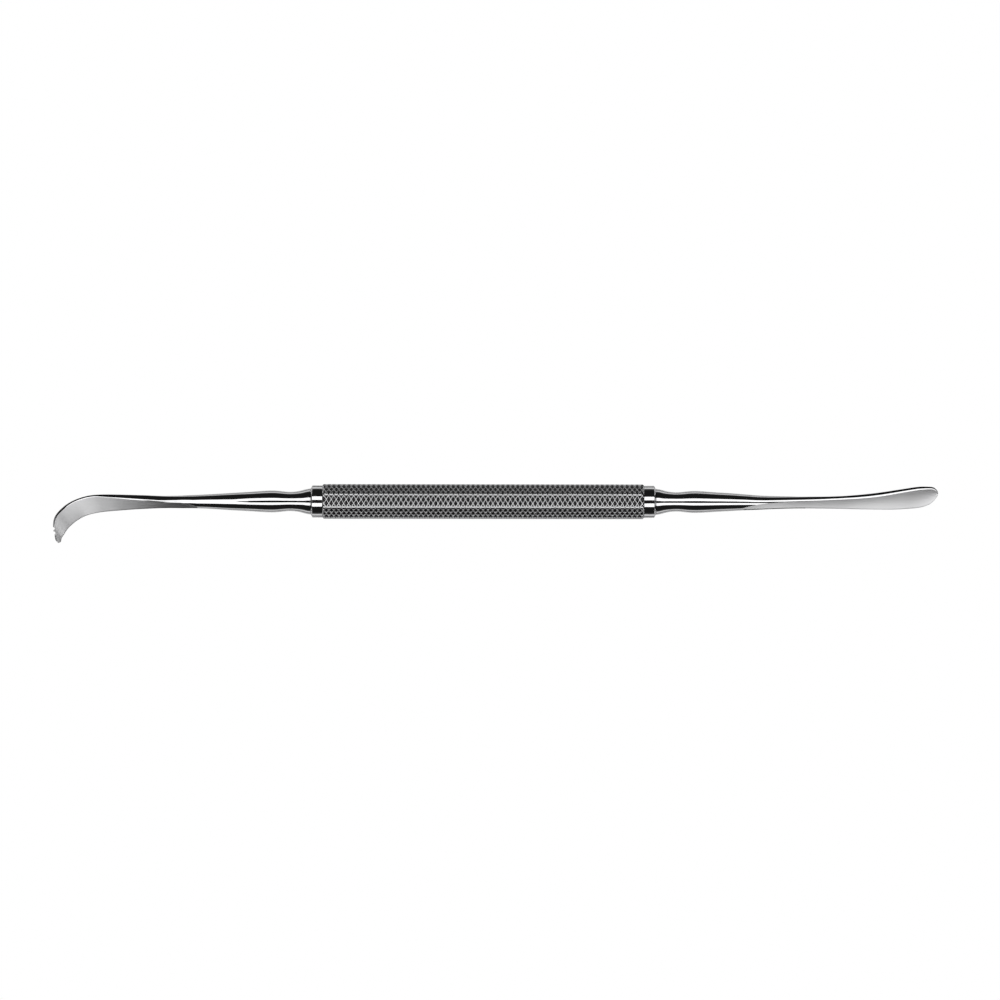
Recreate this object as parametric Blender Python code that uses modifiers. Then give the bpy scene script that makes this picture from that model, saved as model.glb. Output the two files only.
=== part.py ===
"""A double-ended clay modelling tool: two forged steel tips pressed into a hollow, eight-sided handle.

The tool lies along X on one flat of its handle, and the origin is the middle of that flat. The hook
points to -X and the spatula to +X. Both blades have a polished back towards +Y and a ground face that
looks up and towards -Y.
"""

import math

import bmesh
import bpy
import numpy as np
from mathutils import Matrix

MM = 0.001
FIT = 0.05 * MM  # gap between pressed pieces

# Handle sleeve, an octagonal tube
FLATS = 6.9 * MM
SLEEVE_LENGTH = 64.5 * MM
SLEEVE_BORE = 4.6 * MM
SLEEVE_CORNER = 0.31 * MM  # how far each corner is cut back along its flats
SLEEVE_END_CHAMFER = 0.2 * MM
AXIS_HEIGHT = FLATS / 2

# Collars, turned plugs that close the sleeve
COLLAR_DIAMETER = 6.45 * MM
COLLAR_LENGTH = 2.4 * MM
COLLAR_NOSE_DIAMETER = 5.3 * MM
COLLAR_CHAMFER = 0.3 * MM
SPIGOT_LENGTH = 6 * MM
SPIGOT_CHAMFER = 0.3 * MM
COLLAR_BORE = 3 * MM
COLLAR_FACE = SLEEVE_LENGTH / 2 + COLLAR_LENGTH  # where each tip starts, from the middle of the handle

# Tang of each tip
TANG_DIAMETER = COLLAR_BORE - 2 * FIT
TANG_LENGTH = 7.5 * MM
TANG_CHAMFER = 0.25 * MM

ROUND_SEGMENTS = 32
FACE_SEGMENTS = 3
BELLY_SEGMENTS = 10
BACK_SEGMENTS = 12
SECTIONS_PER_ROW = 3
FACE_START_RUN = 0.2  # mm along the tip in which the grinding starts

# The waisted shank that both tips share: distance out from the collar, diameter and sideways drift, in mm
SHANK = (
    (0.0, 5.2, 0.0),
    (0.8, 4.98, 0.0),
    (2.0, 4.34, 0.0),
    (3.2, 3.94, 0.0),
    (4.3, 3.83, 0.0),
    (5.4, 4.0, 0.0),
    (6.7, 4.28, 0.0),
    (8.0, 4.38, 0.0),
    (9.7, 4.24, -0.01),
    (12.4, 3.88, -0.02),
    (16.2, 3.44, -0.04),
)

# Blades, row by row from the start of the ground face to the tip. A row holds the point on the back and the
# point on the cutting edge, as distance out and Y in mm, and the shape of the section between them:
#   ridge, where the rounded back meets the ground face, as a share of the width from the cutting edge,
#   rise, how far the ridge is above the tool's axis, in mm,
#   lean and brow, how steeply the back falls away at the ridge and at its outside, in degrees,
#   tilt, how steeply the face falls away from the ridge, and hollow, how much less at the cutting edge,
#   belly, how deep the underside bulges in mm.
HOOK = (
    (22.75, 1.31, 22.75, -1.4, 0.146, 0.96, -45, 90, 45, 0, 1.36),
    (24.4, 1.24, 24.4, -1.38, 0.29, 0.905, -28, 78, 40, 0, 1.3),
    (26.2, 1.14, 26.2, -1.37, 0.42, 0.8, -14, 68, 36, 0, 1.2),
    (29.1, 1.09, 29.1, -1.36, 0.46, 0.68, -4, 58, 31.5, 0, 1.0),
    (32.75, 1.18, 32.75, -1.49, 0.585, 0.555, 4, 50, 27.2, 0, 0.75),
    (36.4, 1.28, 36.4, -1.68, 0.682, 0.44, 9, 43, 24.4, 0, 0.6),
    (38.9, 1.34, 38.5, -1.84, 0.755, 0.365, 10, 43, 22.7, 0, 0.52),
    (41.2, 1.36, 40.6, -2.0, 0.82, 0.295, 12, 42, 21.0, 0, 0.46),
    (44.0, 1.22, 42.7, -2.25, 0.885, 0.22, 8, 36, 19.6, 0, 0.42),
    (46.4, 0.66, 44.75, -2.71, 0.887, 0.165, 7, 36, 19.4, 0, 0.4),
    (48.6, -0.32, 46.5, -3.49, 0.887, 0.118, 11, 42, 21.2, 0, 0.38),
    (50.4, -1.71, 48.05, -4.6, 0.885, 0.05, 25, 37, 24.5, 1.5, 0.36),
    (51.5, -3.14, 49.1, -5.68, 0.884, -0.12, 28, 34, 26.8, 2, 0.33),
    (51.86, -4.6, 49.7, -6.6, 0.872, -0.4, 28, 33, 28.9, 2.5, 0.3),
    (51.79, -5.8, 50.1, -7.2, 0.848, -0.7, 28, 33, 30, 1, 0.26),
    (51.61, -6.9, 50.26, -7.6, 0.82, -1.0, 28, 33, 30, 0, 0.22),
    (51.45, -7.6, 50.32, -7.95, 0.79, -1.18, 28, 33, 30, 0, 0.19),
    (51.28, -8.02, 50.44, -8.2, 0.76, -1.3, 28, 33, 30, 0, 0.15),
    (51.06, -8.24, 50.62, -8.3, 0.74, -1.4, 28, 33, 30, 0, 0.1),
)
HOOK_POINT = (50.84, -8.36)
HOOK_NOTCHES = ((51.83, -5.6), (51.7, -6.42))  # two index notches in the back, near the tip
NOTCH_RADIUS = 0.25 * MM

SPATULA = (
    (17.6, 1.56, 17.6, -1.68, 0.146, 1.146, -45, 90, 23, 1, 1.62),
    (18.9, 1.46, 18.9, -1.63, 0.235, 1.27, -32, 90, 22, 1, 1.55),
    (21.0, 1.3, 21.0, -1.54, 0.37, 1.15, -16, 84, 21.5, 2, 1.4),
    (24.0, 1.19, 24.0, -1.41, 0.475, 0.86, -6, 72, 22, 3, 1.15),
    (28.0, 1.1, 28.0, -1.29, 0.55, 0.58, -2, 57, 23.5, 4, 0.9),
    (32.5, 1.08, 32.5, -1.28, 0.63, 0.4, 0, 47, 24.2, 5, 0.7),
    (37.0, 1.19, 37.0, -1.32, 0.685, 0.3, 0, 39, 24.2, 5, 0.55),
    (41.0, 1.48, 41.0, -1.41, 0.705, 0.27, 1, 37, 24.2, 7, 0.46),
    (45.0, 1.93, 45.0, -1.46, 0.745, 0.257, 2, 36, 24.2, 8, 0.4),
    (48.5, 2.46, 48.5, -1.42, 0.795, 0.248, 2, 37, 24.5, 8, 0.36),
    (51.3, 2.9, 51.3, -1.24, 0.822, 0.238, 2, 38, 25.2, 8, 0.33),
    (53.4, 3.14, 53.6, -0.94, 0.836, 0.222, 2, 40, 26, 10, 0.3),
    (55.1, 3.11, 55.2, -0.35, 0.85, 0.179, 2, 42, 26.5, 12, 0.26),
    (56.2, 2.8, 56.2, 0.55, 0.81, 0.115, 2, 44, 26.5, 13, 0.2),
    (56.68, 2.3, 56.68, 1.32, 0.72, 0.053, 2, 45, 26.5, 13, 0.13),
)
SPATULA_POINT = (56.8, 1.82)


def clear_scene():
    for thing in list(bpy.data.objects):
        bpy.data.objects.remove(thing)


def new_collection(name):
    made = bpy.data.collections.new(name)
    bpy.context.scene.collection.children.link(made)
    return made


def steel(name, colour, roughness):
    made = bpy.data.materials.new(name)
    made.use_nodes = True
    shader = made.node_tree.nodes["Principled BSDF"]
    shader.inputs["Base Color"].default_value = (*colour, 1)
    shader.inputs["Metallic"].default_value = 1
    shader.inputs["Roughness"].default_value = roughness
    return made


def mesh_object(name, bm, material, collection, smooth_below=None):
    """Turns bm into a named object on the tool's axis, shaded smooth where faces meet below an angle."""
    mesh = bpy.data.meshes.new(name)
    bm.to_mesh(mesh)
    bm.free()
    mesh.materials.append(material)
    if smooth_below is not None:
        mesh.shade_smooth()
        mesh.set_sharp_from_angle(angle=math.radians(smooth_below))
    made = bpy.data.objects.new(name, mesh)
    made.location.z = AXIS_HEIGHT
    collection.objects.link(made)
    return made


def cutter(name, radius, depth, cutters):
    """A cylinder along Z that cuts and isn't shown."""
    bm = bmesh.new()
    bmesh.ops.create_cone(
        bm, cap_ends=True, segments=ROUND_SEGMENTS, radius1=radius, radius2=radius, depth=depth
    )
    mesh = bpy.data.meshes.new(name)
    bm.to_mesh(mesh)
    bm.free()
    made = bpy.data.objects.new(name, mesh)
    made.hide_render = True
    made.display_type = "WIRE"
    cutters.objects.link(made)
    return made


def cut(target, tool):
    modifier = target.modifiers.new(f"cut {tool.name}", "BOOLEAN")
    modifier.operation = "DIFFERENCE"
    modifier.solver = "EXACT"
    modifier.object = tool


def make_sleeve(material, parts, cutters):
    """An octagonal tube with a flat below, softened corners, chamfered ends and a bore right through."""
    bm = bmesh.new()
    corner_radius = FLATS / 2 / math.cos(math.pi / 8)
    bmesh.ops.create_cone(
        bm, cap_ends=True, segments=8, radius1=corner_radius, radius2=corner_radius, depth=SLEEVE_LENGTH
    )
    bmesh.ops.rotate(bm, verts=bm.verts, matrix=Matrix.Rotation(math.pi / 8, 3, "Z"))
    bmesh.ops.rotate(bm, verts=bm.verts, matrix=Matrix.Rotation(math.pi / 2, 3, "Y"))
    long_edges = [e for e in bm.edges if abs(e.verts[0].co.x - e.verts[1].co.x) > SLEEVE_LENGTH / 2]
    bmesh.ops.bevel(bm, geom=long_edges, offset=SLEEVE_CORNER, segments=2, profile=0.5, affect="EDGES")
    end_edges = [
        e
        for e in bm.edges
        if all(abs(abs(v.co.x) - SLEEVE_LENGTH / 2) < 0.1 * FIT for v in e.verts)
        and len({f.normal.x > 0.5 or f.normal.x < -0.5 for f in e.link_faces}) == 2
    ]
    bmesh.ops.bevel(bm, geom=end_edges, offset=SLEEVE_END_CHAMFER, segments=1, affect="EDGES")
    sleeve = mesh_object("handle_sleeve", bm, material, parts, smooth_below=20)
    bore = cutter("sleeve_bore", SLEEVE_BORE / 2, SLEEVE_LENGTH * 1.2, cutters)
    bore.rotation_euler.y = math.pi / 2
    bore.location.z = AXIS_HEIGHT
    cut(sleeve, bore)
    return sleeve


def make_collar(name, side, material, parts):
    """A turned ring with a spigot. Its profile runs down the outer side, from the nose to the spigot's end."""
    outer, nose, bore = COLLAR_DIAMETER / 2, COLLAR_NOSE_DIAMETER / 2, COLLAR_BORE / 2
    spigot = SLEEVE_BORE / 2 - FIT
    profile = (
        (bore, COLLAR_LENGTH),
        (nose, COLLAR_LENGTH),
        (outer, COLLAR_LENGTH - COLLAR_CHAMFER),
        (outer, FIT),
        (spigot, FIT),
        (spigot, SPIGOT_CHAMFER - SPIGOT_LENGTH),
        (spigot - SPIGOT_CHAMFER, -SPIGOT_LENGTH),
        (bore, -SPIGOT_LENGTH),
    )
    bm = bmesh.new()
    corners = [bm.verts.new((radius, 0, height)) for radius, height in profile]
    for here, after in zip(corners, corners[1:] + corners[:1]):
        bm.edges.new((here, after))
    collar = mesh_object(name, bm, material, parts)
    collar.location.x = side * SLEEVE_LENGTH / 2
    collar.rotation_euler.y = side * math.pi / 2
    screw = collar.modifiers.new("turn", "SCREW")
    screw.steps = ROUND_SEGMENTS
    screw.render_steps = ROUND_SEGMENTS
    screw.use_merge_vertices = True
    screw.merge_threshold = 0.01 * FIT
    screw.use_smooth_shade = False
    return collar


def smooth(knots, values, at):
    """A natural cubic spline through values at knots, read at the places in at."""
    step = np.diff(knots)
    slope = np.diff(values) / step
    system = np.eye(len(knots))
    right = np.zeros(len(knots))
    for i in range(1, len(knots) - 1):
        system[i, i - 1 : i + 2] = step[i - 1], 2 * (step[i - 1] + step[i]), step[i]
        right[i] = 6 * (slope[i] - slope[i - 1])
    bend = np.linalg.solve(system, right)
    i = np.clip(np.searchsorted(knots, at, side="right") - 1, 0, len(step) - 1)
    before, after = at - knots[i], knots[i + 1] - at
    straight = (values[i] * after + values[i + 1] * before) / step[i]
    bow = bend[i] * after * (after**2 - step[i] ** 2) + bend[i + 1] * before * (before**2 - step[i] ** 2)
    return straight + bow / (6 * step[i])


def steady(knots, values, at):
    """A cubic curve through values at knots that never swings past them."""
    step = np.diff(knots)
    slope = np.diff(values) / step
    tangent = np.zeros(len(knots))
    rising = slope[:-1] * slope[1:] > 0
    tangent[1:-1][rising] = 2 * (slope[:-1] * slope[1:])[rising] / (slope[:-1] + slope[1:])[rising]
    tangent[0], tangent[-1] = slope[0], slope[-1]
    i = np.clip(np.searchsorted(knots, at, side="right") - 1, 0, len(step) - 1)
    t = (at - knots[i]) / step[i]
    start = values[i] * (1 + 2 * t) * (1 - t) ** 2 + tangent[i] * step[i] * t * (1 - t) ** 2
    end = values[i + 1] * t**2 * (3 - 2 * t) + tangent[i + 1] * step[i] * t**2 * (t - 1)
    return start + end


def tip_rows(blade):
    """The shank and a blade as one table in mm. The shank's rows take on the round section of the first row."""
    ridge, rise, lean, brow, tilt, hollow = blade[0][4:10]
    rows = []
    for out, diameter, drift in SHANK:
        radius = diameter / 2
        rise = radius * math.cos(math.radians(lean))
        rows.append((out, drift + radius, out, drift - radius, ridge, rise, lean, brow, tilt, hollow, radius))
    return np.array(rows + list(blade), float)


def tip_stations(blade):
    """Rows spaced closely along the tip: the outline is a smooth spline, the section's shape a steady one.
    Also says which stations have the ground face."""
    rows = tip_rows(blade)
    middle = (rows[:, 0:2] + rows[:, 2:4]) / 2
    knots = np.concatenate([[0], np.cumsum(np.linalg.norm(np.diff(middle, axis=0), axis=1))])
    start = knots[len(SHANK)]
    share = np.arange(SECTIONS_PER_ROW) / SECTIONS_PER_ROW
    at = np.append((knots[:-1, None] + np.diff(knots)[:, None] * share).ravel(), knots[-1])
    at = np.sort(np.append(at, start + FACE_START_RUN))
    outline = [smooth(knots, rows[:, k], at) for k in range(4)]
    shape = [steady(knots, rows[:, k], at) for k in range(4, rows.shape[1])]
    return np.array(outline + shape).T, at > start


def section(half, ground, ridge, rise, lean, brow, tilt, hollow, belly):
    """One closed section as (across, up) pairs: along the face from ridge to cutting edge, round the belly to
    the outside of the back, and over the back."""
    ridge = half * (2 * ridge - 1)
    lean, brow = math.radians(lean), math.radians(brow)
    radius = (half - ridge) / (math.sin(brow) - math.sin(lean))
    centre, sunk = half - radius * math.sin(brow), radius * math.cos(lean) - rise
    width = ridge + half
    slope, slope_end = math.tan(math.radians(tilt)), math.tan(math.radians(tilt - hollow))

    def on_arc(turn):
        return centre + radius * math.sin(turn), radius * math.cos(turn) - sunk

    points = []
    for i in range(FACE_SEGMENTS + 1):
        share = i / FACE_SEGMENTS
        if ground:
            fall = width * (slope * share + (slope_end - slope) * share**2 / 2)
            points.append((ridge - width * share, rise - fall))
        else:
            points.append(on_arc(lean + (-math.pi / 2 - lean) * share))
    outside = on_arc(brow)[1]
    foot = min(points[-1][1], outside)
    for i in range(1, BELLY_SEGMENTS + 1):
        turn = math.pi * i / BELLY_SEGMENTS
        level = (foot + outside) / 2 + (foot - outside) / 2 * math.cos(turn)
        points.append((-half * math.cos(turn), level - belly * math.sin(turn)))
    for i in range(1, BACK_SEGMENTS):
        points.append(on_arc(brow + (lean - brow) * i / BACK_SEGMENTS))
    return points


def ring(bm, side, back, edge, outline):
    """Places one section between its point on the back and its point on the cutting edge, given in mm."""
    back, edge = np.array(back), np.array(edge)
    middle, across = (back + edge) / 2, (back - edge) / np.linalg.norm(back - edge)
    made = []
    for along, up in outline:
        out, y = middle + across * along
        made.append(bm.verts.new((side * (COLLAR_FACE + out * MM), y * MM, up * MM)))
    return made


def round_ring(bm, side, out, radius, like):
    """A round section on the tool's axis, with the same spread of points as the shank's."""
    ridge, _, lean, *rest = like[4:10]
    rise = radius * math.cos(math.radians(lean))
    return ring(bm, side, (out, radius), (out, -radius), section(radius, False, ridge, rise, lean, *rest, radius))


def make_tip(name, side, blade, point, material, parts):
    """Lofts the tang, shoulder, shank and blade as one body, and closes it at the blade's point."""
    bm = bmesh.new()
    stations, ground = tip_stations(blade)
    tang, first = TANG_DIAMETER / 2 / MM, stations[0]
    shoulder = FIT / MM
    end, chamfer = -TANG_LENGTH / MM, TANG_CHAMFER / MM
    rings = [
        round_ring(bm, side, end, tang - chamfer, first),
        round_ring(bm, side, end + chamfer, tang, first),
        round_ring(bm, side, shoulder, tang, first),
    ]
    stations[0, 0] = stations[0, 2] = shoulder
    for (x_back, y_back, x_edge, y_edge, *shape), is_ground in zip(stations, ground):
        half_width = math.dist((x_back, y_back), (x_edge, y_edge)) / 2
        outline = section(half_width, is_ground, *shape)
        rings.append(ring(bm, side, (x_back, y_back), (x_edge, y_edge), outline))
    for here, after in zip(rings, rings[1:]):
        for i in range(len(here)):
            j = (i + 1) % len(here)
            bm.faces.new((here[i], here[j], after[j], after[i]))
    bm.faces.new(rings[0])
    nose_height = sum(vertex.co.z for vertex in rings[-1]) / len(rings[-1])
    nose = bm.verts.new((side * (COLLAR_FACE + point[0] * MM), point[1] * MM, nose_height))
    for i, vertex in enumerate(rings[-1]):
        bm.faces.new((vertex, rings[-1][(i + 1) % len(rings[-1])], nose))
    bmesh.ops.triangulate(bm, faces=bm.faces)
    bmesh.ops.recalc_face_normals(bm, faces=bm.faces)
    return mesh_object(name, bm, material, parts, smooth_below=30)


def notch_hook(hook, side, cutters):
    for number, (out, y) in enumerate(HOOK_NOTCHES, 1):
        tool = cutter(f"notch_{number}", NOTCH_RADIUS, FLATS, cutters)
        tool.location = (side * (COLLAR_FACE + out * MM), y * MM, AXIS_HEIGHT)
        cut(hook, tool)


def make_tool():
    parts, cutters = new_collection("clay_modeling_tool"), new_collection("cutters")
    knurled = steel("knurled_steel", (0.42, 0.42, 0.43), 0.3)
    turned = steel("turned_steel", (0.62, 0.62, 0.63), 0.12)
    forged = steel("forged_steel", (0.58, 0.58, 0.59), 0.25)
    tool = bpy.data.objects.new("clay_modeling_tool", None)
    parts.objects.link(tool)
    hook_side, spatula_side = -1, 1
    hook = make_tip("hook_tip", hook_side, HOOK, HOOK_POINT, forged, parts)
    notch_hook(hook, hook_side, cutters)
    pieces = (
        make_sleeve(knurled, parts, cutters),
        make_collar("hook_end_collar", hook_side, turned, parts),
        make_collar("spatula_end_collar", spatula_side, turned, parts),
        hook,
        make_tip("spatula_tip", spatula_side, SPATULA, SPATULA_POINT, forged, parts),
    )
    for piece in pieces:
        piece.parent = tool


clear_scene()
make_tool()
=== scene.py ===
"""The looks of the double-ended clay modelling tool: a knurled eight-sided handle, two turned collars, a
hook and a leaf spatula, all of stainless steel, on a white surface under one wide soft light.

The tool lies along X on one flat of its handle. The hook points to -X and the spatula to +X. Every piece is
finer work on the sizes of the CAD solid that it stands for.
"""

import math

import bmesh
import bpy
import numpy as np
from mathutils import Matrix, Vector

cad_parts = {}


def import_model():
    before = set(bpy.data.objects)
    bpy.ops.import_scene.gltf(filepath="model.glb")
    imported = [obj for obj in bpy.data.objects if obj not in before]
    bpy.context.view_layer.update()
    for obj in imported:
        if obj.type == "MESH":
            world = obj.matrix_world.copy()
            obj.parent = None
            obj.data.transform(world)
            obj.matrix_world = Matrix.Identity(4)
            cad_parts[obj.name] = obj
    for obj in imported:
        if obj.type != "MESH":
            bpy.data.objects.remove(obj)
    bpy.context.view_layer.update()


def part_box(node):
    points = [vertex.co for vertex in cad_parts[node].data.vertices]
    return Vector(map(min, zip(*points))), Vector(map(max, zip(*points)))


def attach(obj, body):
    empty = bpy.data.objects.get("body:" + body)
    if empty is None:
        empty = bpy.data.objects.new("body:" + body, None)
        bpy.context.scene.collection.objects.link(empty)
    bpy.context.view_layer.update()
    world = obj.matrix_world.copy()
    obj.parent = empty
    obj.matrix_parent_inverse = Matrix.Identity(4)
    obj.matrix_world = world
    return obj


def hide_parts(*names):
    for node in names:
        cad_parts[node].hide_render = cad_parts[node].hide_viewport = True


MM = 0.001

# Sizes that the CAD solids also have
SLEEVE_CORNER_RADIUS = 0.75 * MM  # takes 0.31 mm off both ends of each flat, as the solid's bevel does
SLEEVE_END_CHAMFER = 0.2 * MM
SLEEVE_BORE = 4.6 * MM
COLLAR_NOSE_DIAMETER = 5.3 * MM
COLLAR_CHAMFER = 0.3 * MM
TANG_DIAMETER = 2.9 * MM
TANG_GAP = 0.05  # mm between a tip's shoulder and its collar
SPIGOT_GAP = 0.05 * MM  # between a collar's spigot and the sleeve's bore

# Stretches hidden inside the handle, shorter here than in the CAD solids
SPIGOT_LENGTH = 5 * MM
TANG_LENGTH = 5.0  # mm

# Collars
COLLAR_EDGE = 0.05 * MM  # how far polishing has rounded a collar's edges
LATHE_SEGMENTS = 160

# Knurl: two crossing families of ridges, which stand round diamond pits
KNURL_PITCH = 0.997 * MM  # along the handle, between ridges of one family
KNURL_ROWS = 28  # rows of crossings round the handle, three and a half on each flat
KNURL_DEPTH = 0.09 * MM
# Across a ridge: the distance from its middle, as a share of the distance to the next, and the height there
RIDGE_AWAY = (0, 0.06, 0.12)
RIDGE_HEIGHT = (1, 0.85, 0)
KNURL_LINES = (0, 0.06, 0.12, 0.88, 0.94)  # mesh lines from one ridge to the next
RIDGE_SIDE = 0.4  # mesh strips that start below this share lie past a ridge, the others before the next
CRISP_ANGLE = math.radians(8)  # an edge along a ridge or in a pit as sharp as this stays sharp
KNURL_START = 0.46 * MM  # where a crossing lies, along the handle from its middle,
KNURL_TURN = 0.36  # and round it from the top flat's middle, in rows
# Points of the handle that are this close, in metres, count as one, and this close to its end as on the rim
SAME_PLACE = 1e-6
LEVEL = 0.01  # an edge whose two heights add up to within this of 0 or 2 lies in a pit or along a ridge

# Tips
FACE_SEGMENTS = 10  # of a section, along the face,
BACK_SEGMENTS = 30  # over the back
BELLY_SEGMENTS = 24  # and round the belly
STATION_SPACING = 0.3  # mm between sections along a tip
EDGE_WIDTH = 0.15  # mm of the ground face that turn down at its cutting edge
EDGE_SLOPE = 0.12  # how much steeper that strip is than the rest of the face, as rise over run
FACE_START_RUN = 0.03  # mm along the tip in which the grinding starts
BRIGHT_EDGE_END = 30  # mm out from the collar: the cutting edges are polished up to here
BROW_LIMIT = 66  # degrees: a back that comes down less steeply than this ends in a crisp line
BROW_COLUMN = 7  # of a row of the tables below
# A faint crest along the top of a tip: distances in mm out from the collar, and its slope there
HOOK_CREST = ((12.2, 15.4, 30.0, 36.0), (0, 0.13, 0.13, 0))
NO_CREST = ((0,), (0,))
CREST_SEGMENTS = BACK_SEGMENTS // 3  # how many of the back's segments lie between the crest and the face
CREST_SHARE = 0.08  # the least share of the back's turn that they take up

# The waisted shank that both tips share: distance out from the collar, diameter and sideways drift, in mm
SHANK = (
    (0.0, 5.2, 0.0),
    (0.8, 4.98, 0.0),
    (2.0, 4.34, 0.0),
    (3.2, 3.94, 0.0),
    (4.3, 3.83, 0.0),
    (5.4, 4.0, 0.0),
    (6.7, 4.28, 0.0),
    (8.0, 4.38, 0.0),
    (9.7, 4.24, -0.01),
    (12.4, 3.88, -0.02),
    (16.2, 3.44, -0.04),
)

# Blades, row by row from the start of the ground face to the tip. A row holds the point on the back and the
# point on the cutting edge, as distance out and Y in mm, and the shape of the section between them:
#   ridge, where the rounded back meets the ground face, as a share of the width from the cutting edge,
#   rise, how far the ridge is above the tool's axis, in mm,
#   lean and brow, how steeply the back falls away at the ridge and at its outside, in degrees,
#   tilt, how steeply the face falls away from the ridge, and hollow, how much less at the cutting edge,
#   belly, how deep the underside bulges in mm.
HOOK = (
    (22.75, 1.31, 22.75, -1.4, 0.146, 0.96, -45, 90, 45, 0, 1.36),
    (24.4, 1.24, 24.4, -1.38, 0.29, 0.905, -28, 78, 40, 0, 1.3),
    (26.2, 1.14, 26.2, -1.37, 0.42, 0.8, -14, 68, 36, 0, 1.2),
    (29.1, 1.09, 29.1, -1.36, 0.46, 0.68, -4, 58, 31.5, 0, 1.0),
    (32.75, 1.18, 32.75, -1.49, 0.585, 0.555, 4, 50, 27.2, 0, 0.75),
    (36.4, 1.28, 36.4, -1.68, 0.682, 0.44, 9, 43, 24.4, 0, 0.6),
    (38.9, 1.34, 38.5, -1.84, 0.755, 0.365, 10, 43, 22.7, 0, 0.52),
    (41.2, 1.36, 40.6, -2.0, 0.82, 0.295, 12, 42, 21.0, 0, 0.46),
    (44.0, 1.22, 42.7, -2.25, 0.885, 0.22, 8, 36, 19.6, 0, 0.42),
    (46.4, 0.66, 44.75, -2.71, 0.887, 0.165, 7, 36, 19.4, 0, 0.4),
    (48.6, -0.32, 46.5, -3.49, 0.887, 0.118, 11, 42, 21.2, 0, 0.38),
    (50.4, -1.71, 48.05, -4.6, 0.885, 0.05, 25, 37, 24.5, 1.5, 0.36),
    (51.5, -3.14, 49.1, -5.68, 0.884, -0.12, 28, 34, 26.8, 2, 0.33),
    (51.86, -4.6, 49.7, -6.6, 0.872, -0.4, 28, 33, 28.9, 2.5, 0.3),
    (51.79, -5.8, 50.1, -7.2, 0.848, -0.7, 28, 33, 30, 1, 0.26),
    (51.61, -6.9, 50.26, -7.6, 0.82, -1.0, 28, 33, 30, 0, 0.22),
    (51.45, -7.6, 50.32, -7.95, 0.79, -1.18, 28, 33, 30, 0, 0.19),
    (51.28, -8.02, 50.44, -8.2, 0.76, -1.3, 28, 33, 30, 0, 0.15),
    (51.06, -8.24, 50.62, -8.3, 0.74, -1.4, 28, 33, 30, 0, 0.1),
)
HOOK_POINT = (50.84, -8.36)
HOOK_NOTCHES = ((51.8, -5.5), (51.68, -6.36))  # two small notches in the back, near the tip
NOTCH_RADIUS = 0.28 * MM
NOTCH_SEGMENTS = 32

SPATULA = (
    (17.6, 1.56, 17.6, -1.68, 0.146, 1.146, -45, 90, 23, 1, 1.62),
    (18.9, 1.46, 18.9, -1.63, 0.235, 1.27, -32, 90, 22, 1, 1.55),
    (21.0, 1.3, 21.0, -1.54, 0.37, 1.15, -16, 84, 21.5, 2, 1.4),
    (24.0, 1.19, 24.0, -1.41, 0.475, 0.86, -6, 72, 22, 3, 1.15),
    (28.0, 1.1, 28.0, -1.29, 0.55, 0.58, -2, 57, 23.5, 4, 0.9),
    (32.5, 1.08, 32.5, -1.28, 0.63, 0.4, 0, 47, 24.2, 5, 0.7),
    (37.0, 1.19, 37.0, -1.32, 0.685, 0.3, 0, 39, 24.2, 5, 0.55),
    (41.0, 1.48, 41.0, -1.41, 0.705, 0.27, 1, 37, 24.2, 7, 0.46),
    (45.0, 1.93, 45.0, -1.46, 0.745, 0.257, 2, 36, 24.2, 8, 0.4),
    (48.5, 2.46, 48.5, -1.42, 0.795, 0.248, 2, 37, 24.5, 8, 0.36),
    (51.3, 2.9, 51.3, -1.24, 0.822, 0.238, 2, 38, 25.2, 8, 0.33),
    (53.4, 3.14, 53.6, -0.94, 0.836, 0.222, 2, 40, 26, 10, 0.3),
    (55.1, 3.11, 55.2, -0.35, 0.85, 0.179, 2, 42, 26.5, 12, 0.26),
    (56.2, 2.8, 56.2, 0.55, 0.81, 0.115, 2, 44, 26.5, 13, 0.2),
    (56.68, 2.3, 56.68, 1.32, 0.72, 0.053, 2, 45, 26.5, 13, 0.13),
)
SPATULA_POINT = (56.8, 1.82)

# Camera: a long lens almost straight above, leaning a little to -Y
VIEW_CENTRE = Vector((3.36 * MM, 0.34 * MM, 3.45 * MM))
VIEW_WIDTH = 201.0 * MM
CAMERA_DISTANCE = 1.0  # metres
CAMERA_LEAN = math.radians(2.5)
CAMERA_ROLL = math.radians(0.07)
CAMERA_RANGE = 20  # metres
SENSOR_WIDTH = 36.0  # mm

# One wide soft light above the tool, with a dark opening that the camera looks through
LIGHT_DISTANCE = 1.0  # metres
LIGHT_REACH = (1.1, 0.74)  # half its length along the tool and half its width, in metres
OPENING_REACH = (0.76, 0.21)  # and the opening's
LIGHT_RADIANCE = 1.8

# A half-round room that only the steel reflects
WALL_RADIANCE = 0.014
END_RADIANCE = (0.2, 0.06)  # the brighter walls past the hook and past the spatula
END_START = 0.7  # how far towards the ends they begin, as a share of the room's radius
END_TOP = 0.3  # how high they reach, as a share of the same
ROOM_RADIUS = 2.9  # metres
ROOM_RINGS = 12
ROOM_SPOKES = 32

# The floor is two surfaces: a white one that the camera sees, and one above it, with painted shade, that the
# steel reflects
FLOOR_SIZE = 6  # metres
SEEN_FLOOR_HEIGHT = -0.02 * MM
REFLECTED_FLOOR_HEIGHT = -0.01 * MM
# The second one's painted tones, at distances in mm to either side of the tool's axis: painted shade, darker
# near the tool than further out, a dark painted stripe that draws the tool's outline in the steel, and nearly
# black from the last distance on.
PAINTED_FLOOR_SHADES = ((0, 0.42), (6.2, 0.42), (7.5, 0.08), (9, 0.08), (10.5, 0.56), (17, 0.56), (30, 0.03))


# Node helpers

NOISE_LOW, NOISE_HIGH = 0.3, 0.7  # most noise values lie between these


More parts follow.
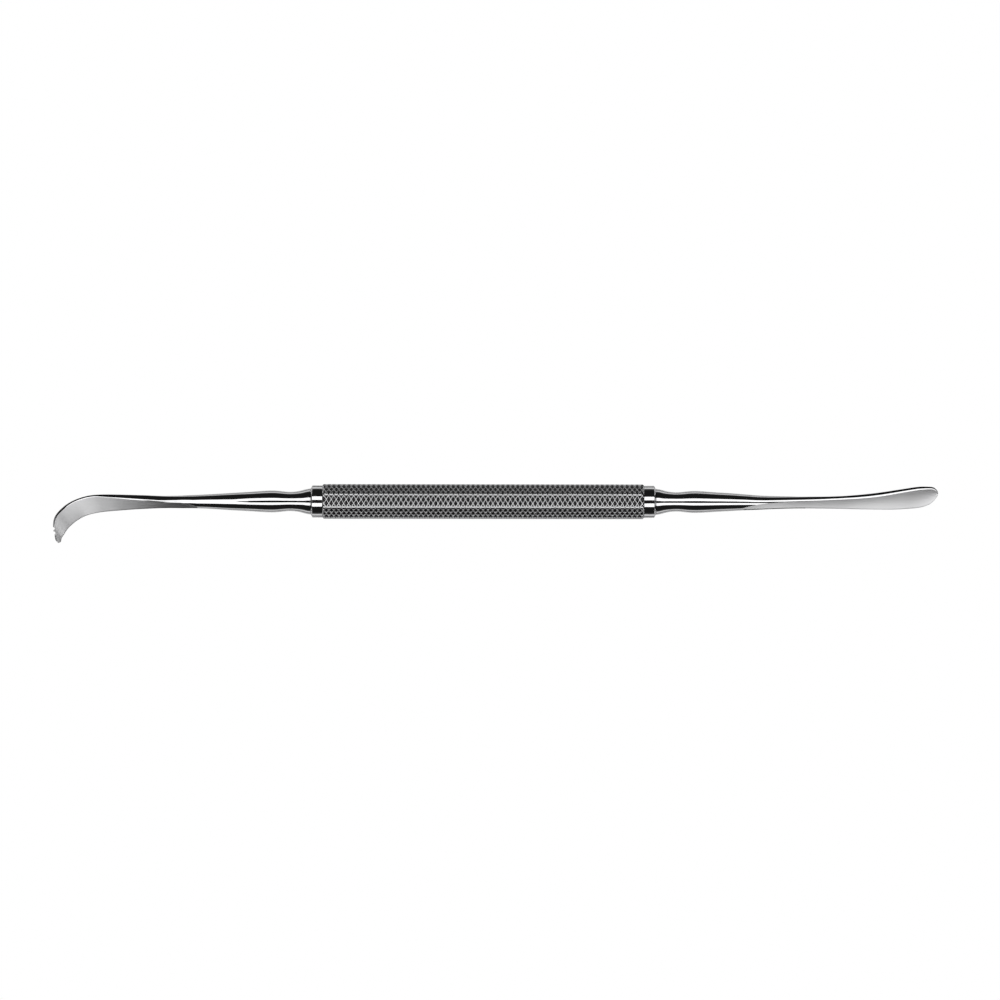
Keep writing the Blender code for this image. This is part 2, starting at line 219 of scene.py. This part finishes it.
def new_material(name, colour, roughness):
    """A metal with a plain colour and roughness, which the nodes of each material below then vary."""
    made = bpy.data.materials.new(name)
    made.use_nodes = True
    shader = made.node_tree.nodes["Principled BSDF"]
    shader.inputs["Base Color"].default_value = (*colour, 1)
    shader.inputs["Metallic"].default_value = 1
    shader.inputs["Roughness"].default_value = roughness
    return made, made.node_tree, shader


def stretched_noise(tree, stretch, scale, detail):
    """Noise in the tool's own coordinates, in mm, drawn out along the axes where stretch is above 1."""
    place = tree.nodes.new("ShaderNodeTexCoord")
    shape = tree.nodes.new("ShaderNodeMapping")
    shape.inputs["Scale"].default_value = [1 / (MM * s) for s in stretch]
    noise = tree.nodes.new("ShaderNodeTexNoise")
    noise.inputs["Scale"].default_value = scale
    noise.inputs["Detail"].default_value = detail
    tree.links.new(place.outputs["Object"], shape.inputs["Vector"])
    tree.links.new(shape.outputs["Vector"], noise.inputs["Vector"])
    return noise.outputs["Fac"]


def spread(tree, value, low, high):
    """Maps noise to the range from low to high."""
    made = tree.nodes.new("ShaderNodeMapRange")
    made.inputs["From Min"].default_value = NOISE_LOW
    made.inputs["From Max"].default_value = NOISE_HIGH
    made.inputs["To Min"].default_value = low
    made.inputs["To Max"].default_value = high
    tree.links.new(value, made.inputs["Value"])
    return made.outputs["Result"]


def grey(tree, value, low, high):
    """Maps noise to a range of neutral steel greys."""
    ramp = tree.nodes.new("ShaderNodeValToRGB")
    ramp.color_ramp.elements[0].position = NOISE_LOW
    ramp.color_ramp.elements[0].color = (low, low, low * 1.01, 1)
    ramp.color_ramp.elements[1].position = NOISE_HIGH
    ramp.color_ramp.elements[1].color = (high, high, high * 1.01, 1)
    tree.links.new(value, ramp.inputs["Fac"])
    return ramp.outputs["Color"]


def bump(tree, shader, height, distance):
    """Shades a surface as if it rose by a height from 0 to 1, times a distance in metres."""
    made = tree.nodes.new("ShaderNodeBump")
    made.inputs["Distance"].default_value = distance
    tree.links.new(height, made.inputs["Height"])
    tree.links.new(made.outputs["Normal"], shader.inputs["Normal"])


def polished_steel():
    """Mirror polish with fine lines along the tool."""
    made, tree, shader = new_material("polished_steel", (0.62, 0.62, 0.63), 0.1)
    lines = stretched_noise(tree, (6.0, 0.12, 0.12), 1.0, 3)
    tree.links.new(spread(tree, lines, 0.03, 0.06), shader.inputs["Roughness"])
    tree.links.new(grey(tree, lines, 0.6, 0.65), shader.inputs["Base Color"])
    bump(tree, shader, lines, 0.0006 * MM)
    return made


def satin_steel():
    """A ground face: soft, with streaks along the blade and a fine grain."""
    made, tree, shader = new_material("satin_steel", (0.6, 0.6, 0.61), 0.4)
    streaks = stretched_noise(tree, (5.0, 0.35, 0.35), 1.0, 4)
    grain = stretched_noise(tree, (0.25, 0.08, 0.08), 1.0, 2)
    tree.links.new(spread(tree, streaks, 0.345, 0.375), shader.inputs["Roughness"])
    tree.links.new(grey(tree, streaks, 0.615, 0.645), shader.inputs["Base Color"])
    bump(tree, shader, grain, 0.0015 * MM)
    return made


def turned_steel():
    """Polished on the lathe, so its fine lines run round the axis."""
    made, tree, shader = new_material("turned_steel", (0.62, 0.62, 0.63), 0.1)
    lines = stretched_noise(tree, (0.05, 4.0, 4.0), 1.0, 2)
    tree.links.new(spread(tree, lines, 0.05, 0.1), shader.inputs["Roughness"])
    tree.links.new(grey(tree, lines, 0.6, 0.65), shader.inputs["Base Color"])
    bump(tree, shader, lines, 0.0005 * MM)
    return made


def knurled_steel():
    """Ridges worn smooth, over rougher pits whose colour is darker as painted shade."""
    made, tree, shader = new_material("knurled_steel", (0.6, 0.6, 0.61), 0.3)
    height = tree.nodes.new("ShaderNodeAttribute")
    height.attribute_name = "height"
    grain = stretched_noise(tree, (0.12, 0.12, 0.12), 1.0, 2)
    wear = tree.nodes.new("ShaderNodeMapRange")
    wear.inputs["To Min"].default_value = 0.15
    wear.inputs["To Max"].default_value = 0.1
    tree.links.new(height.outputs["Fac"], wear.inputs["Value"])
    tree.links.new(wear.outputs["Result"], shader.inputs["Roughness"])
    # Painted shade: the colour runs from darker down in the pits to lighter on the ridges
    ramp = tree.nodes.new("ShaderNodeValToRGB")
    ramp.color_ramp.elements[0].color = (0.42, 0.42, 0.425, 1)
    ramp.color_ramp.elements[1].color = (0.66, 0.66, 0.67, 1)
    tree.links.new(height.outputs["Fac"], ramp.inputs["Fac"])
    tree.links.new(ramp.outputs["Color"], shader.inputs["Base Color"])
    bump(tree, shader, grain, 0.0005 * MM)
    return made


# Mesh helpers


def new_piece(name, points, faces, materials, stands_for):
    """Makes a smooth-shaded object from arrays and puts it in place of a CAD node."""
    mesh = bpy.data.meshes.new(name)
    mesh.from_pydata(np.asarray(points).tolist(), [], faces)
    for material in materials:
        mesh.materials.append(material)
    mesh.shade_smooth()
    mesh.update()
    made = bpy.data.objects.new(name, mesh)
    bpy.context.scene.collection.objects.link(made)
    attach(made, "root")
    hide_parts(stands_for)
    return made


def octagon(places, flats, corner_radius):
    """Points round a rounded octagon, and the outward direction at each. A place counts flats from the
    middle of the top flat, so place 0.5 is the middle of the first corner."""
    flat = flats * math.tan(math.pi / 8) - 2 * corner_radius * math.tan(math.pi / 8)
    arc = corner_radius * math.pi / 4
    number = np.floor(places)
    along = (places - number) * (flat + arc)
    turn = np.clip((along - flat / 2) / corner_radius, 0, math.pi / 4)
    before, after = np.minimum(along, flat / 2), np.maximum(along - flat / 2 - arc, 0)
    angle = math.pi / 2 + number * math.pi / 4
    facing = angle + turn
    arc_height = flats / 2 - corner_radius

    def direction(a):
        return np.stack([np.cos(a), np.sin(a)], axis=-1)

    def sideways(a):
        return direction(a + math.pi / 2)

    centre = direction(angle) * arc_height + sideways(angle) * flat / 2
    points = centre + direction(facing) * corner_radius
    points += sideways(angle) * (before - flat / 2)[:, None]
    points += sideways(angle + math.pi / 4) * after[:, None]
    return points, direction(facing)


def ridge_height(place):
    """Height of one family of ridges, from 0 on the floor of a pit to 1, at a place counted in ridges."""
    return np.interp(np.abs(place - np.round(place)), RIDGE_AWAY, RIDGE_HEIGHT)


def cut_sheet(points, faces, cuts):
    """A sheet split along straight cuts. A cut is a point, the direction across it and whether it trims."""
    mesh = bpy.data.meshes.new("sheet")
    mesh.from_pydata(points.tolist(), [], faces.tolist())
    work = bmesh.new()
    work.from_mesh(mesh)
    bmesh.ops.delete(work, geom=[v for v in work.verts if not v.link_faces], context="VERTS")
    for place, across, trims in cuts:
        everything = work.verts[:] + work.edges[:] + work.faces[:]
        bmesh.ops.bisect_plane(work, geom=everything, plane_co=place, plane_no=across, clear_outer=trims)
    work.to_mesh(mesh)
    work.free()
    points = np.empty(len(mesh.vertices) * 3)
    mesh.vertices.foreach_get("co", points)
    faces = [tuple(face.vertices) for face in mesh.polygons]
    bpy.data.meshes.remove(mesh)
    return points.reshape(-1, 3), faces


def knurl_sheet(end, corner_start):
    """The knurl laid flat: x in mm along the handle, y in rows round it, z from 0 in a pit to 1 on a ridge.
    The mesh runs along both families of ridges, and along both edges of each of the handle's corners."""
    pitch = KNURL_PITCH / MM
    half = KNURL_ROWS / 2
    reach = int(end / pitch + half / 2) + 2
    lines = (np.arange(-reach, reach)[:, None] + np.array(KNURL_LINES)).ravel()
    falling, rising = np.meshgrid(lines, lines, indexing="ij")
    x = (falling - rising) / 2 * pitch + KNURL_START / MM
    rows = falling + rising - KNURL_TURN
    height = np.maximum(ridge_height(falling), ridge_height(rising))
    points = np.stack([x, rows, height], axis=-1).reshape(-1, 3)

    # Squares between neighbouring lines, each split from the corner nearest a crossing of ridges
    index = np.arange(x.size).reshape(x.shape)
    squares = np.stack([index[:-1, :-1], index[1:, :-1], index[1:, 1:], index[:-1, 1:]], axis=-1)
    early = lines[:-1] % 1 < RIDGE_SIDE
    alike = early[:, None] == early[None, :]
    kept = (np.abs(x[:-1, :-1]) < end + pitch) & (np.abs(rows[:-1, :-1]) < half + 2)
    a, b, c, d = squares[kept].T
    alike = alike[kept][:, None]
    first = np.where(alike, np.stack([c, b, a], 1), np.stack([d, b, a], 1))
    second = np.where(alike, np.stack([d, c, a], 1), np.stack([d, c, b], 1))

    cuts = [((side * end, 0, 0), (side, 0, 0), True) for side in (-1, 1)]
    cuts += [((0, side * half, 0), (0, side, 0), True) for side in (-1, 1)]
    for flat in range(-4, 4):
        for share in (corner_start, 0.5, 1 - corner_start):
            cuts.append(((0, (flat + share) * KNURL_ROWS / 8, 0), (0, 1, 0), False))
    return cut_sheet(points, np.concatenate([first, second]), cuts)


def make_handle(material, low, high):
    """The knurled tube: the sheet of knurl rolled round the octagon, with chamfered ends and a bore."""
    flats = high.z - low.z
    reach = (high.x - low.x) / 2
    end = reach - SLEEVE_END_CHAMFER
    straight = (flats - 2 * SLEEVE_CORNER_RADIUS) * math.tan(math.pi / 8)
    corner_start = straight / 2 / (straight + SLEEVE_CORNER_RADIUS * math.pi / 4)
    sheet, faces = knurl_sheet(end / MM, corner_start)
    x, rows, height = sheet.T
    outline, outward = octagon(rows * 8 / KNURL_ROWS, flats, SLEEVE_CORNER_RADIUS)
    points = np.column_stack([x * MM, outline - outward * (KNURL_DEPTH * (1 - height))[:, None]])
    for side in (-1, 1):
        rim = np.flatnonzero(np.abs(x * MM - side * end) < SAME_PLACE)
        rim = rim[np.argsort(rows[rim])]
        chamfered = outline[rim] - outward[rim] * SLEEVE_END_CHAMFER
        bore = outline[rim] / np.linalg.norm(outline[rim], axis=1)[:, None] * SLEEVE_BORE / 2
        for ring in (chamfered, bore):
            grown = len(points) + np.arange(len(rim))
            points = np.concatenate([points, np.column_stack([np.full(len(rim), side * reach), ring])])
            strip = np.stack([rim[:-1], rim[1:], grown[1:], grown[:-1]], axis=1)
            faces += [tuple(face[::side]) for face in strip.tolist()]
            rim = grown
    points += ((high.x + low.x) / 2, 0, (high.z + low.z) / 2)
    handle = new_piece("knurled_handle", points, faces, [material], "handle_sleeve")
    shown = np.zeros(len(points), np.float32)
    shown[: len(height)] = height
    handle.data.attributes.new("height", "FLOAT", "POINT").data.foreach_set("value", shown)

    # The seam closes underneath, the bore joins the two ends, and ridges and pits get crisp edges
    work = bmesh.new()
    work.from_mesh(handle.data)
    bmesh.ops.remove_doubles(work, verts=work.verts[:], dist=SAME_PLACE)
    bmesh.ops.bridge_loops(work, edges=[e for e in work.edges if e.is_boundary])
    level = work.verts.layers.float["height"]
    for edge in work.edges:
        height = edge.verts[0][level] + edge.verts[1][level]
        along = height < LEVEL or height > 2 - LEVEL
        edge.smooth = not (along and edge.calc_face_angle(0) > CRISP_ANGLE)
    work.to_mesh(handle.data)
    work.free()
    return handle


def lathe(name, profile, centre, material, stands_for):
    """Turns (x, radius) points round the tool's axis into a closed body."""
    segments = LATHE_SEGMENTS
    turn = np.arange(segments) / segments * 2 * math.pi
    points = []
    for x, radius in profile:
        points += [(x, centre[0] + radius * math.cos(a), centre[1] + radius * math.sin(a)) for a in turn]
    faces = []
    rings = len(profile)
    for i in range(rings):
        for j in range(segments):
            a, b = i * segments + j, i * segments + (j + 1) % segments
            c, d = (b + segments) % (rings * segments), (a + segments) % (rings * segments)
            faces.append((a, b, c, d))
    return new_piece(name, points, faces, [material], stands_for)


def make_collar(name, side, node, material, axis):
    """A turned ring with a chamfered nose and a spigot, its edges softened by small rounds."""
    low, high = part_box(node)
    outer = (high.z - low.z) / 2
    nose = COLLAR_NOSE_DIAMETER / 2
    face = max(abs(low.x), abs(high.x))
    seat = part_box("handle_sleeve")[1].x
    spigot = SLEEVE_BORE / 2 - SPIGOT_GAP
    soft = COLLAR_EDGE
    bore = TANG_DIAMETER / 2
    run = COLLAR_CHAMFER
    rise = outer - nose
    profile = [
        (face, bore),
        (face, nose - soft),
        (face - 0.3 * soft, nose - 0.3 * soft),
        (face - soft, nose + soft * 0.8),
        (face - run + soft * 0.6, outer - rise * soft / run),
        (face - run - 0.2 * soft, outer - 0.2 * soft),
        (face - run - 1.2 * soft, outer),
        (seat + 1.5 * soft, outer),
        (seat + 0.5 * soft, outer - 0.3 * soft),
        (seat, outer - soft),
        (seat, spigot),
        (seat - SPIGOT_LENGTH, spigot),
        (seat - SPIGOT_LENGTH, bore),
    ]
    profile = [(side * x, r) for x, r in profile[::-side]]
    return lathe(name, profile, axis, material, node)


def smooth(knots, values, at):
    """A natural cubic spline through values at knots, read at the places in at."""
    step = np.diff(knots)
    slope = np.diff(values) / step
    system = np.eye(len(knots))
    right = np.zeros(len(knots))
    for i in range(1, len(knots) - 1):
        system[i, i - 1 : i + 2] = step[i - 1], 2 * (step[i - 1] + step[i]), step[i]
        right[i] = 6 * (slope[i] - slope[i - 1])
    bend = np.linalg.solve(system, right)
    i = np.clip(np.searchsorted(knots, at, side="right") - 1, 0, len(step) - 1)
    before, after = at - knots[i], knots[i + 1] - at
    straight = (values[i] * after + values[i + 1] * before) / step[i]
    bow = bend[i] * after * (after**2 - step[i] ** 2) + bend[i + 1] * before * (before**2 - step[i] ** 2)
    return straight + bow / (6 * step[i])


def steady(knots, values, at):
    """A cubic curve through values at knots that never swings past them."""
    step = np.diff(knots)
    slope = np.diff(values) / step
    tangent = np.zeros(len(knots))
    rising = slope[:-1] * slope[1:] > 0
    tangent[1:-1][rising] = 2 * (slope[:-1] * slope[1:])[rising] / (slope[:-1] + slope[1:])[rising]
    tangent[0], tangent[-1] = slope[0], slope[-1]
    i = np.clip(np.searchsorted(knots, at, side="right") - 1, 0, len(step) - 1)
    t = (at - knots[i]) / step[i]
    start = values[i] * (1 + 2 * t) * (1 - t) ** 2 + tangent[i] * step[i] * t * (1 - t) ** 2
    end = values[i + 1] * t**2 * (3 - 2 * t) + tangent[i + 1] * step[i] * t**2 * (t - 1)
    return start + end


def tip_rows(blade):
    """The shank and a blade as one table in mm. The shank is round, its angles those of the blade's start."""
    ridge, _, lean, brow, tilt, hollow = blade[0][4:10]
    rows = []
    for out, diameter, drift in SHANK:
        radius = diameter / 2
        rise = radius * math.cos(math.radians(lean))
        places = (out, drift + radius, out, drift - radius)
        rows.append((*places, ridge, rise, lean, brow, tilt, hollow, radius))
    return np.array(rows + list(blade), float)


def tip_stations(blade):
    """Rows spaced closely along the tip: the outline is a smooth spline, the section's shape a steady one.
    Also says which stations have the ground face."""
    rows = tip_rows(blade)
    middle = (rows[:, 0:2] + rows[:, 2:4]) / 2
    knots = np.concatenate([[0], np.cumsum(np.linalg.norm(np.diff(middle, axis=0), axis=1))])
    start = knots[len(SHANK)]
    at = np.linspace(0, knots[-1], int(knots[-1] / STATION_SPACING) + 1)
    at = at[np.abs(at - start) > STATION_SPACING / 2]
    at = np.sort(np.append(at, (start, start + FACE_START_RUN)))
    outline = [smooth(knots, rows[:, k], at) for k in range(4)]
    shape = [steady(knots, rows[:, k], at) for k in range(4, rows.shape[1])]
    return np.array(outline + shape).T, at > start


def section(half, ground, crest, ridge, rise, lean, brow, tilt, hollow, belly):
    """One closed section as (across, up) pairs: along the face from ridge to cutting edge, round the belly
    to the outside of the back, and over the back. Half is half its width, ground tells whether it has the
    ground face, and crest is the crest's slope."""
    ridge = half * (2 * ridge - 1)
    lean, brow = math.radians(lean), math.radians(brow)
    radius = (half - ridge) / (math.sin(brow) - math.sin(lean))
    centre, sunk = half - radius * math.sin(brow), radius * math.cos(lean) - rise
    width = ridge + half
    slope, slope_end = math.tan(math.radians(tilt)), math.tan(math.radians(tilt - hollow))
    crest_turn = max(0, lean + CREST_SHARE * (brow - lean))

    def on_arc(turn):
        across = centre + radius * math.sin(turn)
        away = radius * abs(math.sin(turn) - math.sin(crest_turn))
        return across, radius * math.cos(turn) - sunk - crest * away * (1 - away / half)

    points = []
    for i in range(FACE_SEGMENTS + 1):
        if ground:
            last = i == FACE_SEGMENTS
            share = 1 if last else i / (FACE_SEGMENTS - 1) * (1 - EDGE_WIDTH / width)
            fall = width * (slope * share + (slope_end - slope) * share**2 / 2)
            fall += EDGE_WIDTH * EDGE_SLOPE * last
            points.append((ridge - width * share, on_arc(lean)[1] - fall))
        else:
            points.append(on_arc(lean + (-math.pi / 2 - lean) * i / FACE_SEGMENTS))
    outside = on_arc(brow)[1]
    foot = min(points[-1][1], outside)
    for i in range(1, BELLY_SEGMENTS + 1):
        turn = math.pi * i / BELLY_SEGMENTS
        level = (foot + outside) / 2 + (foot - outside) / 2 * math.cos(turn)
        points.append((-half * math.cos(turn), level - belly * math.sin(turn)))
    steps = (0, BACK_SEGMENTS - CREST_SEGMENTS, BACK_SEGMENTS)
    for i in range(1, BACK_SEGMENTS):
        points.append(on_arc(np.interp(i, steps, (brow, crest_turn, lean))))
    return points


def make_tip(name, side, blade, point, crest, node, polished, satin):
    """Lofts the shank and blade as one body, with a crisp line all round the ground face."""
    sleeve_low, sleeve_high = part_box("handle_sleeve")
    axis_z = (sleeve_low.z + sleeve_high.z) / 2
    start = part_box("spatula_end_collar")[1].x
    stations, ground = tip_stations(blade)
    stations[0, 0] = stations[0, 2] = TANG_GAP
    tang = TANG_DIAMETER / 2 / MM
    ridge, _, lean, *rest = blade[0][4:10]
    rise = tang * math.cos(math.radians(lean))
    tang_outline = section(tang, False, 0, ridge, rise, lean, *rest, tang)
    rings = [[(out, across, up) for across, up in tang_outline] for out in (-TANG_LENGTH, TANG_GAP)]
    for (x_back, y_back, x_edge, y_edge, *shape), is_ground in zip(stations, ground):
        back, edge = np.array((x_back, y_back)), np.array((x_edge, y_edge))
        middle, width = (back + edge) / 2, np.linalg.norm(back - edge)
        direction = (back - edge) / width
        crest_slope = np.interp((x_back + x_edge) / 2, *crest)
        outline = section(width / 2, is_ground, crest_slope, *shape)
        rings.append([(*(middle + direction * across), up) for across, up in outline])
    # The tang's two rings come first. They have no ground face and end in no crisp line.
    ground = np.concatenate([[False, False], ground])
    brow = np.concatenate([[90, 90], stations[:, BROW_COLUMN]])
    size = len(rings[0])
    middle_up = np.mean([up for _, _, up in rings[-1]])
    points = np.array(rings).reshape(-1, 3) * MM
    points = np.concatenate([points, [(point[0] * MM, point[1] * MM, middle_up * MM)]])
    points[:, 0] = side * (start + points[:, 0])
    points[:, 2] += axis_z
    points = np.clip(points, *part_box(node))  # nothing reaches past the solid's box

    faces, slots, crisp = [], [], set()
    outside = FACE_SEGMENTS + BELLY_SEGMENTS
    crest_line = outside + BACK_SEGMENTS - CREST_SEGMENTS
    for i in range(len(rings) - 1):
        for j in range(size):
            a, b = i * size + j, i * size + (j + 1) % size
            faces.append((a, b, b + size, a + size))
            bright_edge = j == FACE_SEGMENTS - 1 and rings[i][0][0] < BRIGHT_EDGE_END
            slots.append(1 if ground[i] and j < FACE_SEGMENTS and not bright_edge else 0)
            on_face = ground[i] and j in (0, FACE_SEGMENTS - 1, FACE_SEGMENTS)
            if on_face or j == crest_line or (j == outside and brow[i] < BROW_LIMIT):
                crisp.add((a, a + size))
            if ground[i + 1] and not ground[i] and j < FACE_SEGMENTS:
                crisp.update([(a, b), (a + size, b + size)])
    last = (len(rings) - 1) * size
    for j in range(size):
        faces.append((last + j, last + (j + 1) % size, len(points) - 1))
        slots.append(1 if j < FACE_SEGMENTS else 0)
    faces.append(tuple(reversed(range(size))))
    slots.append(0)
    if side < 0:
        faces = [tuple(reversed(f)) for f in faces]
    tip = new_piece(name, points, faces, [polished, satin], node)
    tip.data.polygons.foreach_set("material_index", slots)
    for edge in tip.data.edges:
        edge.use_edge_sharp = tuple(sorted(edge.vertices)) in crisp
    return tip


def notch_hook(tip, material):
    """Two round notches, cut through the hook's back near its point."""
    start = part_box("spatula_end_collar")[1].x
    low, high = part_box("hook_tip")
    for out, y in HOOK_NOTCHES:
        bpy.ops.mesh.primitive_cylinder_add(
            vertices=NOTCH_SEGMENTS,
            radius=NOTCH_RADIUS,
            depth=2 * (high.z - low.z),
            location=(-start - out * MM, y * MM, (low.z + high.z) / 2),
        )
        cutter = bpy.context.object
        cutter.data.materials.append(material)
        cut = tip.modifiers.new("notch", "BOOLEAN")
        cut.operation = "DIFFERENCE"
        cut.object = cutter
        with bpy.context.temp_override(object=tip):
            bpy.ops.object.modifier_apply(modifier=cut.name)
        bpy.data.objects.remove(cutter)


def make_lights():
    """Four panels that make one wide light round its opening, square to the camera."""
    (long, wide), (gap_long, gap_wide) = LIGHT_REACH, OPENING_REACH
    panels = {
        "front_panel": (-long, long, -wide, -gap_wide),
        "back_panel": (-long, long, gap_wide, wide),
        "hook_end_panel": (-long, -gap_long, -gap_wide, gap_wide),
        "spatula_end_panel": (gap_long, long, -gap_wide, gap_wide),
    }
    for name, (x_low, x_high, y_low, y_high) in panels.items():
        light = bpy.data.lights.new(name, "AREA")
        light.shape = "RECTANGLE"
        light.size, light.size_y = x_high - x_low, y_high - y_low
        light.energy = LIGHT_RADIANCE * math.pi * light.size * light.size_y
        made = bpy.data.objects.new(name, light)
        made.visible_camera = False
        place = ((x_low + x_high) / 2, (y_low + y_high) / 2, LIGHT_DISTANCE)
        lean = Matrix.Rotation(CAMERA_LEAN, 4, "X")
        made.matrix_world = Matrix.Translation(VIEW_CENTRE) @ lean @ Matrix.Translation(place)
        bpy.context.scene.collection.objects.link(made)


def plane(name, height, material):
    """A level square of floor."""
    mesh = bpy.data.meshes.new(name)
    s = FLOOR_SIZE / 2
    corners = [(-s, -s, height), (s, -s, height), (s, s, height), (-s, s, height)]
    mesh.from_pydata(corners, [], [(0, 1, 2, 3)])
    mesh.materials.append(material)
    made = bpy.data.objects.new(name, mesh)
    bpy.context.scene.collection.objects.link(made)
    return made


def glow(name, strength):
    """A material that shines evenly and reflects nothing."""
    made = bpy.data.materials.new(name)
    made.use_nodes = True
    made.node_tree.nodes.clear()
    light = made.node_tree.nodes.new("ShaderNodeEmission")
    light.inputs["Strength"].default_value = strength
    out = made.node_tree.nodes.new("ShaderNodeOutputMaterial")
    made.node_tree.links.new(light.outputs["Emission"], out.inputs["Surface"])
    return made


def hide_from(thing, kinds):
    """Makes a thing invisible to some kinds of light rays."""
    for kind in kinds:
        setattr(thing, f"visible_{kind}", False)


def make_room():
    """Dim walls and ceiling that only the steel reflects, brighter past the tool's ends."""
    rings, spokes = ROOM_RINGS, ROOM_SPOKES
    points, faces = [], []
    for i in range(rings + 1):
        up = math.pi / 2 * i / rings
        for j in range(spokes):
            around = 2 * math.pi * j / spokes
            flat = ROOM_RADIUS * math.cos(up)
            points.append((flat * math.cos(around), flat * math.sin(around), ROOM_RADIUS * math.sin(up)))
    for i in range(rings):
        for j in range(spokes):
            a, b = i * spokes + j, i * spokes + (j + 1) % spokes
            faces.append((a, b, b + spokes, a + spokes))
    mesh = bpy.data.meshes.new("studio_room")
    mesh.from_pydata(points, [], faces)
    walls = zip(("studio_wall", "hook_end_wall", "spatula_end_wall"), (WALL_RADIANCE, *END_RADIANCE))
    for name, radiance in walls:
        mesh.materials.append(glow(name, radiance))
    for face in mesh.polygons:
        along, up = face.center.x / ROOM_RADIUS, face.center.z / ROOM_RADIUS
        if abs(along) > END_START and up < END_TOP:
            face.material_index = 1 if along < 0 else 2
    made = bpy.data.objects.new("studio_room", mesh)
    bpy.context.scene.collection.objects.link(made)
    hide_from(made, ("camera", "diffuse", "transmission", "shadow", "volume_scatter"))


def painted_shade_floor():
    """A matt surface with painted shade: its tone depends on the distance to either side of the tool's axis.
    """
    matt = bpy.data.materials.new("matt_painted_shade_surface")
    matt.use_nodes = True
    shader = matt.node_tree.nodes["Principled BSDF"]
    shader.inputs["Roughness"].default_value = 1
    shader.inputs["Specular IOR Level"].default_value = 0
    tree = matt.node_tree
    place = tree.nodes.new("ShaderNodeTexCoord")
    parts = tree.nodes.new("ShaderNodeSeparateXYZ")
    away = tree.nodes.new("ShaderNodeMath")
    away.operation = "ABSOLUTE"
    reach = tree.nodes.new("ShaderNodeMapRange")
    reach.inputs["From Max"].default_value = PAINTED_FLOOR_SHADES[-1][0] * MM
    # Painted shade: darker near the tool, a dark stripe along its outline, and nearly black far out
    tones = tree.nodes.new("ShaderNodeValToRGB")
    stops = tones.color_ramp.elements
    for distance, _ in PAINTED_FLOOR_SHADES[1:-1]:
        stops.new(distance / PAINTED_FLOOR_SHADES[-1][0])
    for stop, (_, tone) in zip(stops, PAINTED_FLOOR_SHADES):
        stop.color = (tone, tone, tone, 1)
    tree.links.new(place.outputs["Object"], parts.inputs["Vector"])
    tree.links.new(parts.outputs["Y"], away.inputs[0])
    tree.links.new(away.outputs["Value"], reach.inputs["Value"])
    tree.links.new(reach.outputs["Result"], tones.inputs["Fac"])
    tree.links.new(tones.outputs["Color"], shader.inputs["Base Color"])
    return matt


def make_floor():
    """A pure white surface that only the camera sees, under a matt one with painted shade that the steel
    reflects instead.
    """
    seen = plane("floor_seen", SEEN_FLOOR_HEIGHT, glow("white_surface", 1))
    hide_from(seen, ("diffuse", "glossy", "transmission", "shadow", "volume_scatter"))
    reflected = plane("floor_reflected", REFLECTED_FLOOR_HEIGHT, painted_shade_floor())
    hide_from(reflected, ("camera",))


def make_world():
    """Even white light on the matt floor, which the steel doesn't reflect directly."""
    world = bpy.data.worlds.new("studio")
    world.use_nodes = True
    world.node_tree.nodes["Background"].inputs["Color"].default_value = (1, 1, 1, 1)
    world.cycles_visibility.glossy = False
    bpy.context.scene.world = world


def make_camera():
    camera = bpy.data.cameras.new("camera")
    camera.sensor_width = SENSOR_WIDTH
    camera.lens = SENSOR_WIDTH * CAMERA_DISTANCE / VIEW_WIDTH
    camera.clip_end = CAMERA_RANGE
    made = bpy.data.objects.new("camera", camera)
    made.matrix_world = (
        Matrix.Translation(VIEW_CENTRE)
        @ Matrix.Rotation(CAMERA_LEAN, 4, "X")
        @ Matrix.Rotation(CAMERA_ROLL, 4, "Z")
        @ Matrix.Translation((0, 0, CAMERA_DISTANCE))
    )
    bpy.context.scene.collection.objects.link(made)
    bpy.context.scene.camera = made


def main():
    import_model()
    bpy.context.scene.view_settings.view_transform = "Standard"
    make_camera()
    make_lights()
    make_floor()
    make_room()
    make_world()
    low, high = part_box("handle_sleeve")
    axis = ((low.y + high.y) / 2, (low.z + high.z) / 2)
    polished, satin, turned = polished_steel(), satin_steel(), turned_steel()
    make_handle(knurled_steel(), low, high)
    make_collar("hook_end_ring", -1, "hook_end_collar", turned, axis)
    make_collar("spatula_end_ring", 1, "spatula_end_collar", turned, axis)
    hook = make_tip("hook_blade", -1, HOOK, HOOK_POINT, HOOK_CREST, "hook_tip", polished, satin)
    notch_hook(hook, polished)
    make_tip("spatula_blade", 1, SPATULA, SPATULA_POINT, NO_CREST, "spatula_tip", polished, satin)


main()
